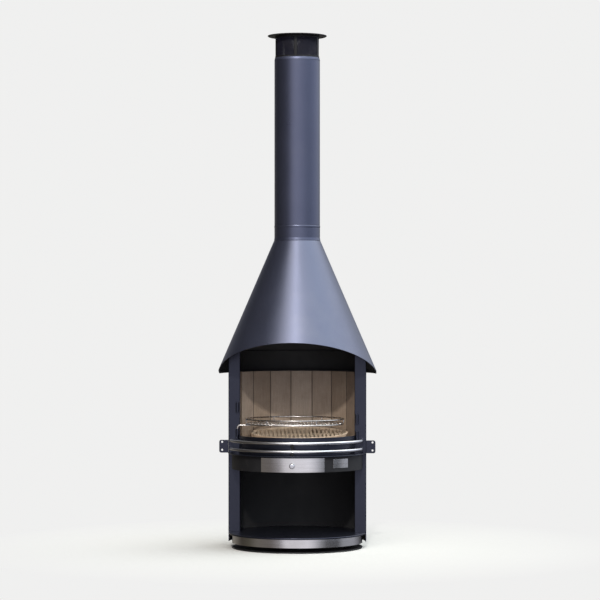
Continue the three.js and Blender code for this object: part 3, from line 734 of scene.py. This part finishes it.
def hearth():
    hole = arc(0, 0, 0.11, 360, 4, 4)
    shelf_radius = -low("shelf_plate").y
    back_radius = high("shelf_plate").y
    for node, name, front_radius, material, edge in (
        ("shelf_plate", "shelf_sheet", shelf_radius, SHADED_LOW_PAINT, 0.0012),
        ("hearth_slab", "hearth_tiles", -low("hearth_slab").y, TILES, 0.0015),
    ):
        loops = [notched_outline(front_radius, back_radius), hole]
        piece = plate(name, loops, low(node).z, high(node).z)
        settle(piece, "body", material, [node], edge)

    radius = -low("apron").y
    reach = math.degrees(math.asin(high("apron").x / radius)) - 0.2
    solid = Solid()
    add_band(
        solid, radius - SHEET, radius, spread(-reach, reach, 1.5),
        [low("apron").z, middle("apron").z, high("apron").z],
    )
    settle(solid.make("apron_sheet"), "body", SHADED_LOW_PAINT, ["apron"], 0.0012)

    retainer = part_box("lining_retainer")
    solid = Solid()
    add_band(solid, 0.264, retainer[1].y, spread(96, 264, 1.5), [retainer[0].z, retainer[1].z])
    settle(solid.make("retainer_sheet"), "body", SOOT, ["lining_retainer"], 0.0008)

    lining = [f"lining_brick_{i + 1}" for i in range(len(LINING_TONES_AND_SHADE))]
    lining.sort(key=lambda node: middle(node).x)
    # Bricks take the row's tones from left to right, painted shade included.
    for node, key in zip(lining, LINING_TONES_AND_SHADE):
        dress(node, BRICKS[key], 0.0022)
    dress("hearth_plate", BLACK)
    dress("ash_chute", BLACK)


def fire_grate():
    radius, pitch, width, depth = 0.215, 0.018, 0.011, 0.008
    box_low, box_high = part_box("fire_grate")
    tilt = math.radians(3.5)
    centre = Vector(((box_low.x + box_high.x) / 2, 0.012, 0.498))
    turn = Matrix.Rotation(math.radians(6), 4, "Z")
    lean = Matrix.Translation(centre) @ Matrix.Rotation(tilt, 4, "X") @ turn
    solid = Solid()
    rim = rounded([
        (radius - 0.013, 0), (radius - 0.003, 0), (radius + 0.003, 0.013), (radius - 0.002, 0.013),
        (radius - 0.006, depth), (radius - 0.013, depth),
    ], 0.0012)
    add_turned(solid, rim, 120)
    reach = radius - 0.008
    count = int(reach / pitch)
    for index in range(-count, count + 1):
        x = index * pitch
        half = math.sqrt(reach ** 2 - (abs(x) + width / 2) ** 2)
        add_block(solid, (x - width / 2, -half, 0.0005), (x + width / 2, half, depth - 0.001))
    add_block(solid, (-reach + 0.004, -0.005, 0), (reach - 0.004, 0.005, depth - 0.002))
    feet_y = 0.178
    solid.verts = [lean @ v for v in solid.verts]
    foot_top = centre.z + (feet_y - centre.y) * math.tan(tilt) + depth / 2
    for x in (-0.108, 0.108):
        foot_x = x + centre.x
        add_tube(solid, [(foot_x, feet_y, high("hearth_slab").z + GAP), (foot_x, feet_y, foot_top)], 0.007)
    settle(solid.make("grate_casting"), "body", GRATE, ["fire_grate"], 0.0012)


# ---------------------------------------------------------------- rails and side brackets
def rail_line(z):
    end_x, run, bend = 0.288, -middle("rail_post").y, 0.04
    turn = math.asin((end_x - bend) / (run - bend))
    bend_y = -(run - bend) * math.cos(turn)
    half = [Vector((end_x, low("front_post_left").y - GAP, z)), Vector((end_x, bend_y * 0.5, z))]
    for step in range(9):
        a = math.pi / 2 - (step / 8) * (math.pi / 2 - turn)
        half.append(Vector((end_x - bend + bend * math.sin(a), bend_y - bend * math.cos(a), z)))
    for step in range(1, 41):
        a = turn * (1 - step / 40)
        half.append(Vector((run * math.sin(a), -run * math.cos(a), z)))
    return half[:-1] + [Vector((-p.x, p.y, p.z)) for p in reversed(half)]


def rails():
    for node in ("upper_rail", "lower_rail"):
        tube_radius = (high(node).z - low(node).z) / 2
        solid = Solid()
        add_tube(solid, rail_line(middle(node).z), tube_radius, 24)
        settle(solid.make(f"{node}_tube"), "body", RAIL_CHROME, [node])
    at, radius = middle("rail_post"), high("rail_post").x
    solid = Solid()
    add_tube(solid, [(0, at.y, low("rail_post").z), (0, at.y, high("rail_post").z)], radius, 24)
    place = Matrix.Translation((0, at.y, 0))
    settle(solid.make("rail_rod"), "body", BLACK, ["rail_post"])
    tube_radius = (high("upper_rail").z - low("upper_rail").z) / 2
    for number, node in enumerate(("upper_rail", "lower_rail")):
        z = middle(node).z - tube_radius
        outline = rounded([
            (radius + GAP, z - 0.009), (radius + 0.003, z - 0.009),
            (radius + 0.0045, z - 0.0004), (radius + GAP, z - 0.0004),
        ], 0.001)
        saddle = Solid()
        add_turned(saddle, outline, 36)
        settle(saddle.make(f"rail_saddle_{number + 1}", place), "body", BLACK)


def brackets():
    corner, hole_radius, hole_x = 0.009, 0.0045, 0.335
    for node, side in (("side_bracket_left", -1), ("side_bracket_right", 1)):
        inner, outer = sorted((abs(low(node).x), abs(high(node).x)))
        bottom, top = low(node).z, high(node).z
        outline = [
            (inner, bottom),
            *arc(outer - corner, bottom + corner, corner, -90, 0, 10),
            *arc(outer - corner, top - corner, corner, 0, 90, 10),
            (inner, top),
        ]
        loops = [outline] + [arc(hole_x, z, hole_radius, 0, 350, 10) for z in (bottom + 0.0125, top - 0.009)]
        loops = [[(side * x, z) for x, z in loop] for loop in loops]
        upright = Matrix.Rotation(math.pi / 2, 4, "X")
        piece = plate(f"{node}_plate", loops, 0, high(node).y - low(node).y, upright)
        settle(piece, "body", SHADED_LOW_PAINT, [node], 0.0006)


# ---------------------------------------------------------------- swing grill
def grill():
    for node in ("socket_left_lower", "socket_left_upper", "socket_right_lower", "socket_right_upper"):
        at = middle(node)
        radius, bore, floor = 0.0075, 0.005, 0.004
        bottom, top = low(node).z, high(node).z
        outline = rounded([
            (0, bottom), (radius, bottom), (radius, top),
            (bore, top), (bore, bottom + floor), (0, bottom + floor),
        ], 0.0006)
        solid = Solid()
        add_turned(solid, outline, 40)
        sleeve = solid.make(f"{node}_sleeve", Matrix.Translation((at.x, at.y, 0)))
        settle(sleeve, "body", SHADED_LOW_PAINT, [node])

    box_low, box_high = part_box("grill_arm")
    radius, bend = 0.0045, 0.014
    foot_x, y, z = middle("socket_left_lower").x, middle("grill_arm").y, box_high.z - radius
    line = [(foot_x, y, box_low.z), (foot_x, y, z - bend - 0.02)]
    line += [
        (foot_x + bend * (1 - math.cos(a)), y, z - bend * (1 - math.sin(a)))
        for a in (math.pi / 2 * step / 12 for step in range(13))
    ]
    line += [(foot_x / 2, y, z), (box_high.x, y, z)]
    solid = Solid()
    add_tube(solid, line, radius, 20)
    settle(solid.make("grill_arm_rod"), "swing_grill", GRILL_CHROME, ["grill_arm"])

    wire, bar, cross = 0.003, 0.002, 0.0018
    centre = middle("grill_grid")
    ring_radius = 0.216
    ring_z = z + radius + GAP + wire
    bar_z = ring_z + wire
    solid = Solid()
    circle = [
        (centre.x + ring_radius * math.cos(a), centre.y + ring_radius * math.sin(a), ring_z)
        for a in (math.tau * i / 120 for i in range(120))
    ]
    add_tube(solid, circle, wire, 10, closed=True)
    pitch = 0.016
    count = int((ring_radius - 0.004) / pitch)
    for index in range(-count, count + 1):
        x = index * pitch
        half = math.sqrt(ring_radius ** 2 - x ** 2)
        along = (centre.y - half, centre.y, centre.y + half)
        add_tube(solid, [(centre.x + x, y, bar_z) for y in along], bar, 8)
    for offset in (-0.07, 0.07):
        half = math.sqrt(ring_radius ** 2 - offset ** 2)
        cross_z = bar_z - bar - cross - GAP
        add_tube(solid, [
            (centre.x - half, centre.y + offset, cross_z), (centre.x + half, centre.y + offset, cross_z),
        ], cross, 8)
    settle(solid.make("grill_grid_wires"), "swing_grill", GRILL_CHROME, ["grill_grid"])

    guard_radius, guard_z = ring_radius + 0.001, high("grill_guard_ring").z - wire
    solid = Solid()
    circle = [
        (centre.x + guard_radius * math.cos(a), centre.y + guard_radius * math.sin(a), guard_z)
        for a in (math.tau * i / 120 for i in range(120))
    ]
    add_tube(solid, circle, wire, 10, closed=True)
    for index in range(6):
        a = math.tau * index / 6
        foot = Vector((centre.x + guard_radius * math.cos(a), centre.y + guard_radius * math.sin(a), 0))
        add_tube(solid, [
            foot + Vector((0, 0, low("grill_guard_ring").z)), foot + Vector((0, 0, guard_z)),
        ], 0.0025, 10)
    settle(solid.make("grill_guard_wires"), "swing_grill", GRILL_CHROME, ["grill_guard_ring"])


# ---------------------------------------------------------------- hood and flue
CUT_HEIGHT = 0.782
CUT_SLOPE = 0.44
SKIRT = 0.019
SKIRT_STEP = 0.0025
HOOD_TOP_RADIUS = 0.103


def hood():
    box_low, box_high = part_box("hood")
    bottom, top, rim_radius = box_low.z, box_high.z, box_high.x
    shoulder = bottom + SKIRT
    step_start = shoulder - 2 * SKIRT_STEP
    cone_radius = rim_radius - SKIRT_STEP
    taper = (cone_radius - HOOD_TOP_RADIUS) / (top - shoulder)

    def radius_at(z):
        if z >= shoulder:
            return cone_radius - taper * (z - shoulder)
        return rim_radius - SKIRT_STEP * max(0, (z - step_start) / (shoulder - step_start))

    def edge_at(angle, inset):
        slope = CUT_SLOPE * math.cos(math.radians(angle))
        on_cone = (CUT_HEIGHT + slope * (cone_radius - inset + taper * shoulder)) / (1 + slope * taper)
        if on_cone >= shoulder:
            return on_cone
        return max(bottom, CUT_HEIGHT + slope * (rim_radius - inset))

    def grid(inset):
        columns = []
        for index in range(240):
            angle = 360 * index / 240
            edge = edge_at(angle, inset)
            start = min(max(edge + 0.0005, step_start), top - 0.02)
            bend = max(edge + 0.001, shoulder)
            heights = [edge, start, bend, *[bend + (top - bend) * step / 10 for step in range(1, 11)]]
            columns.append([polar(radius_at(z) - inset, angle, z) for z in heights])
        return columns

    solid = Solid()
    add_sheet(solid, grid(0.0), grid(SHEET), closed=True, inner_kind=1)
    settle(solid.make("hood_sheet"), "body", [PAINT, SOOT], ["hood"], BENT_EDGE, 50)


def flue():
    wall = 0.002
    neck, pipe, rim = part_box("neck_collar"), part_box("flue_pipe"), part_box("cap_collar")
    pipe_radius = pipe[1].x
    spigot = pipe_radius - wall - GAP
    foot_radius = neck[1].x
    collar_radius = foot_radius - 0.0016
    collar_top = pipe[0].z - GAP
    outline = rounded([
        (spigot - wall, neck[0].z), (foot_radius, neck[0].z), (foot_radius, neck[0].z + 0.002),
        (collar_radius, neck[0].z + 0.013), (collar_radius, collar_top - 0.011),
        (collar_radius + 0.0009, collar_top - 0.008), (collar_radius + 0.0009, collar_top - 0.003),
        (collar_radius, collar_top), (spigot, collar_top), (spigot, neck[1].z), (spigot - wall, neck[1].z),
    ], 0.0016, 4)
    solid = Solid()
    add_turned(solid, outline, 144, lambda radius, z: int(radius < spigot + 0.001))
    settle(solid.make("neck_ring"), "body", [PAINT, SOOT], ["neck_collar"])

    outline = rounded([
        (pipe_radius - wall, pipe[0].z), (pipe_radius, pipe[0].z), (pipe_radius, pipe[1].z),
        (pipe_radius - wall, pipe[1].z),
    ], 0.0008)
    solid = Solid()
    add_turned(solid, outline, 144, lambda radius, z: int(radius < pipe_radius - wall * 0.6))
    settle(solid.make("flue_tube"), "body", [PAINT, SOOT], ["flue_pipe"])

    sleeve = pipe_radius - wall - GAP
    rim_bottom = pipe[1].z + GAP
    outline = rounded([
        (sleeve - wall, rim[0].z), (sleeve, rim[0].z), (sleeve, rim_bottom), (rim[1].x, rim_bottom),
        (rim[1].x - 0.0004, rim_bottom + 0.004), (rim[1].x - 0.002, rim[1].z - 0.002),
        (rim[1].x - 0.0035, rim[1].z), (sleeve - wall, rim[1].z),
    ], 0.0015, 4)
    solid = Solid()
    add_turned(solid, outline, 144)
    settle(solid.make("cap_rim"), "body", LIT_RIM_PAINT, ["cap_collar"])


def spark_guard():
    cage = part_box("spark_guard")
    outer = cage[1].x
    inner = outer - 0.002
    bottom, top = cage[0].z, cage[1].z
    solid = Solid()
    for z0, z1 in ((bottom, bottom + 0.006), (top - 0.006, top)):
        outline = rounded([(inner, z0), (outer, z0), (outer, z1), (inner, z1)], 0.0005)
        add_turned(solid, outline, 120)
    strap_half = math.degrees(0.007 / outer)
    for index in range(5):
        centre = 72 * index
        add_band(
            solid, inner, outer, spread(centre - strap_half, centre + strap_half, 1.2),
            [bottom + 0.001, (bottom + top) / 2, top - 0.001],
        )
    settle(solid.make("guard_cage"), "body", BLACK, ["spark_guard"])

    mesh_radius = inner - 0.0012
    solid = Solid()
    strands, twist, rows = 104, 52.0, 12
    for direction in (-1, 1):
        for index in range(strands):
            start = 360 * index / strands
            line = [
                polar(mesh_radius + direction * 0.0003, start + direction * twist * step / rows,
                      bottom + 0.002 + (top - bottom - 0.004) * step / rows)
                for step in range(rows + 1)
            ]
            add_tube(solid, line, 0.0015, 4)
    settle(solid.make("guard_mesh"), "body", MESH_BLACK)

    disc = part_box("cap_disc")
    radius = disc[1].x
    outline = rounded([
        (0, disc[0].z), (radius - 0.004, disc[0].z),
        (radius, disc[0].z + 0.0025), (radius, disc[0].z + 0.0055),
        (0, disc[1].z),
    ], 0.0012)
    solid = Solid()
    add_turned(solid, outline, 144)
    settle(solid.make("cap_cover"), "body", BLACK, ["cap_disc"])


# ---------------------------------------------------------------- studio
def floor_disc():
    """Pale floor that runs into the backdrop without a horizon. Only the camera sees it."""
    bpy.ops.mesh.primitive_circle_add(vertices=96, radius=14.0, fill_type="NGON", location=(0, 0, -0.0005))
    floor = bpy.context.object
    floor.name = "studio_floor"
    floor.visible_glossy = False
    floor.visible_diffuse = False
    shade = Shade("studio_floor", Roughness=0.9)
    colour = shade.ramp(shade.noise(0.6, 3.0, 0.5), (0.3, (0.53, 0.525, 0.512)), (0.7, (0.56, 0.555, 0.542)))
    shade.finish(colour)
    tree = shade.tree
    distance = tree.nodes.new("ShaderNodeVectorMath")
    distance.operation = "LENGTH"
    shade.link(shade.place, distance.inputs[0])
    far = shade.scaled(distance.outputs["Value"], 0.35, 1.5, 0.0, 1.0)
    glow = tree.nodes.new("ShaderNodeEmission")
    glow.inputs[0].default_value = BACKDROP
    blend = tree.nodes.new("ShaderNodeMixShader")
    shade.link(far, blend.inputs[0])
    shade.link(shade.surface.outputs[0], blend.inputs[1])
    shade.link(glow.outputs[0], blend.inputs[2])
    shade.link(blend.outputs[0], tree.nodes["Material Output"].inputs["Surface"])
    floor.data.materials.append(shade.material)


BACKDROP = (0.87, 0.87, 0.865, 1)
OVERHEAD_TINT = (1.0, 0.97, 0.8, 1)
# Brightness round the horizon, by angle from the front: at the ground, just above it, and high up.
GROUND_RING = [
    (-180, (0.25, 0.24, 0.22)), (-140, (0.25, 0.23, 0.2)),
    (-112, (0.07, 0.06, 0.05)), (-90, (0.1, 0.09, 0.07)),
    (-70, (0.2, 0.18, 0.16)), (-42, (0.17, 0.15, 0.14)), (-27, (0.3, 0.28, 0.29)), (-16, (0.85, 0.83, 0.88)),
    (24, (1.0, 0.98, 1.05)), (34, (0.75, 0.74, 0.8)), (47, (0.3, 0.3, 0.32)), (58, (0.08, 0.075, 0.075)),
    (80, (0.08, 0.08, 0.085)), (92, (0.35, 0.36, 0.4)), (122, (0.4, 0.41, 0.46)), (150, (0.1, 0.1, 0.11)),
]
SKY_RING = [
    (-180, (0.3, 0.31, 0.35)), (-120, (0.035, 0.033, 0.035)),
    (-62, (0.06, 0.058, 0.065)), (-42, (0.3, 0.3, 0.34)),
    (-22, (1.3, 1.3, 1.45)), (0, (1.35, 1.38, 1.55)), (30, (1.1, 1.18, 1.4)), (70, (1.05, 1.18, 1.45)),
    (120, (1.4, 1.5, 1.75)), (165, (0.36, 0.38, 0.44)),
]


def ring(tree, turn, stops):
    """Colours all round the horizon."""
    ramp = tree.nodes.new("ShaderNodeValToRGB")
    elements = ramp.color_ramp.elements
    while len(elements) < len(stops):
        elements.new(0.5)
    for element, (degrees, colour) in zip(elements, stops):
        element.position = (degrees + 180) / 360
        element.color = (*colour, 1)
    tree.links.new(turn, ramp.inputs[0])
    return ramp.outputs[0]


def surroundings():
    """Soft surroundings: ground, sky, dim towards the left. The camera sees a plain pale backdrop."""
    world = bpy.data.worlds.new("studio")
    bpy.context.scene.world = world
    world.use_nodes = True
    tree = world.node_tree
    nodes, links = tree.nodes, tree.links

    def worked(operation, *values):
        node = nodes.new("ShaderNodeMath")
        node.operation = operation
        for socket, value in zip(node.inputs, values):
            if isinstance(value, bpy.types.NodeSocket):
                links.new(value, socket)
            else:
                socket.default_value = value
        return node.outputs[0]

    def by_elevation(start, end, first, last):
        """A soft step between two elevations in degrees."""
        node = nodes.new("ShaderNodeMapRange")
        node.interpolation_type = "SMOOTHSTEP"
        links.new(height, node.inputs[0])
        ends = math.sin(math.radians(start)), math.sin(math.radians(end))
        for socket, number in zip(node.inputs[1:5], (*ends, first, last)):
            socket.default_value = number
        return node.outputs[0]

    def blended(share, first, second, blend="MIX"):
        node = nodes.new("ShaderNodeMix")
        node.data_type = "RGBA"
        node.blend_type = blend
        links.new(share, node.inputs[0])
        links.new(first, node.inputs[6])
        if isinstance(second, bpy.types.NodeSocket):
            links.new(second, node.inputs[7])
        else:
            node.inputs[7].default_value = second
        return node.outputs[2]

    parts = nodes.new("ShaderNodeSeparateXYZ")
    links.new(nodes.new("ShaderNodeTexCoord").outputs["Generated"], parts.inputs[0])
    angle = worked("ARCTAN2", parts.outputs[0], worked("MULTIPLY", parts.outputs[1], -1.0))
    turn = worked("ADD", worked("DIVIDE", angle, math.tau), 0.5)
    height = parts.outputs[2]
    ground, sky = ring(tree, turn, GROUND_RING), ring(tree, turn, SKY_RING)
    colour = blended(by_elevation(-4, 7, 0.0, 1.0), ground, sky)
    colour = blended(by_elevation(8, 40, 0.0, 1.0), colour, OVERHEAD_TINT, "MULTIPLY")
    strength = by_elevation(14, 44, 0.92, 2.7)
    lit = nodes["Background"]
    links.new(colour, lit.inputs[0])
    links.new(strength, lit.inputs[1])
    backdrop = nodes.new("ShaderNodeBackground")
    backdrop.inputs[0].default_value = BACKDROP
    choose = nodes.new("ShaderNodeMixShader")
    links.new(nodes.new("ShaderNodeLightPath").outputs["Is Camera Ray"], choose.inputs[0])
    links.new(lit.outputs[0], choose.inputs[1])
    links.new(backdrop.outputs[0], choose.inputs[2])
    links.new(choose.outputs[0], nodes["World Output"].inputs[0])


def from_direction(azimuth, elevation, distance):
    a, e = math.radians(azimuth), math.radians(elevation)
    return Vector((math.sin(a) * math.cos(e), -math.cos(a) * math.cos(e), math.sin(e))) * distance


def sunlight():
    sun = bpy.data.lights.new("key_sun", "SUN")
    sun.energy = 1.5
    sun.angle = math.radians(2.5)
    sun.color = (1.0, 0.96, 0.92)
    key = bpy.data.objects.new("key_sun", sun)
    key.location = from_direction(0, 32.5, 6)
    key.rotation_euler = key.location.to_track_quat("Z", "Y").to_euler()
    bpy.context.scene.collection.objects.link(key)


def camera():
    azimuth, distance, height, lens, aside = 4.2, 11.11, 1.0985, 150.0, 0.0124
    data = bpy.data.cameras.new("camera")
    data.lens = lens
    data.sensor_width = 36.0
    data.clip_end = 100.0
    obj = bpy.data.objects.new("camera", data)
    across = Vector((math.cos(math.radians(azimuth)), math.sin(math.radians(azimuth)), 0))
    obj.location = from_direction(azimuth, 0, distance) + across * aside + Vector((0, 0, height))
    obj.rotation_euler = (math.radians(90), 0, math.radians(azimuth))
    bpy.context.scene.collection.objects.link(obj)
    bpy.context.scene.camera = obj


camera()
floor_disc()
surroundings()
sunlight()
base_and_plinth()
shell_and_posts()
drawer()
hearth()
fire_grate()
rails()
brackets()
grill()
hood()
flue()
spark_guard()
bpy.context.scene.view_settings.view_transform = "Standard"
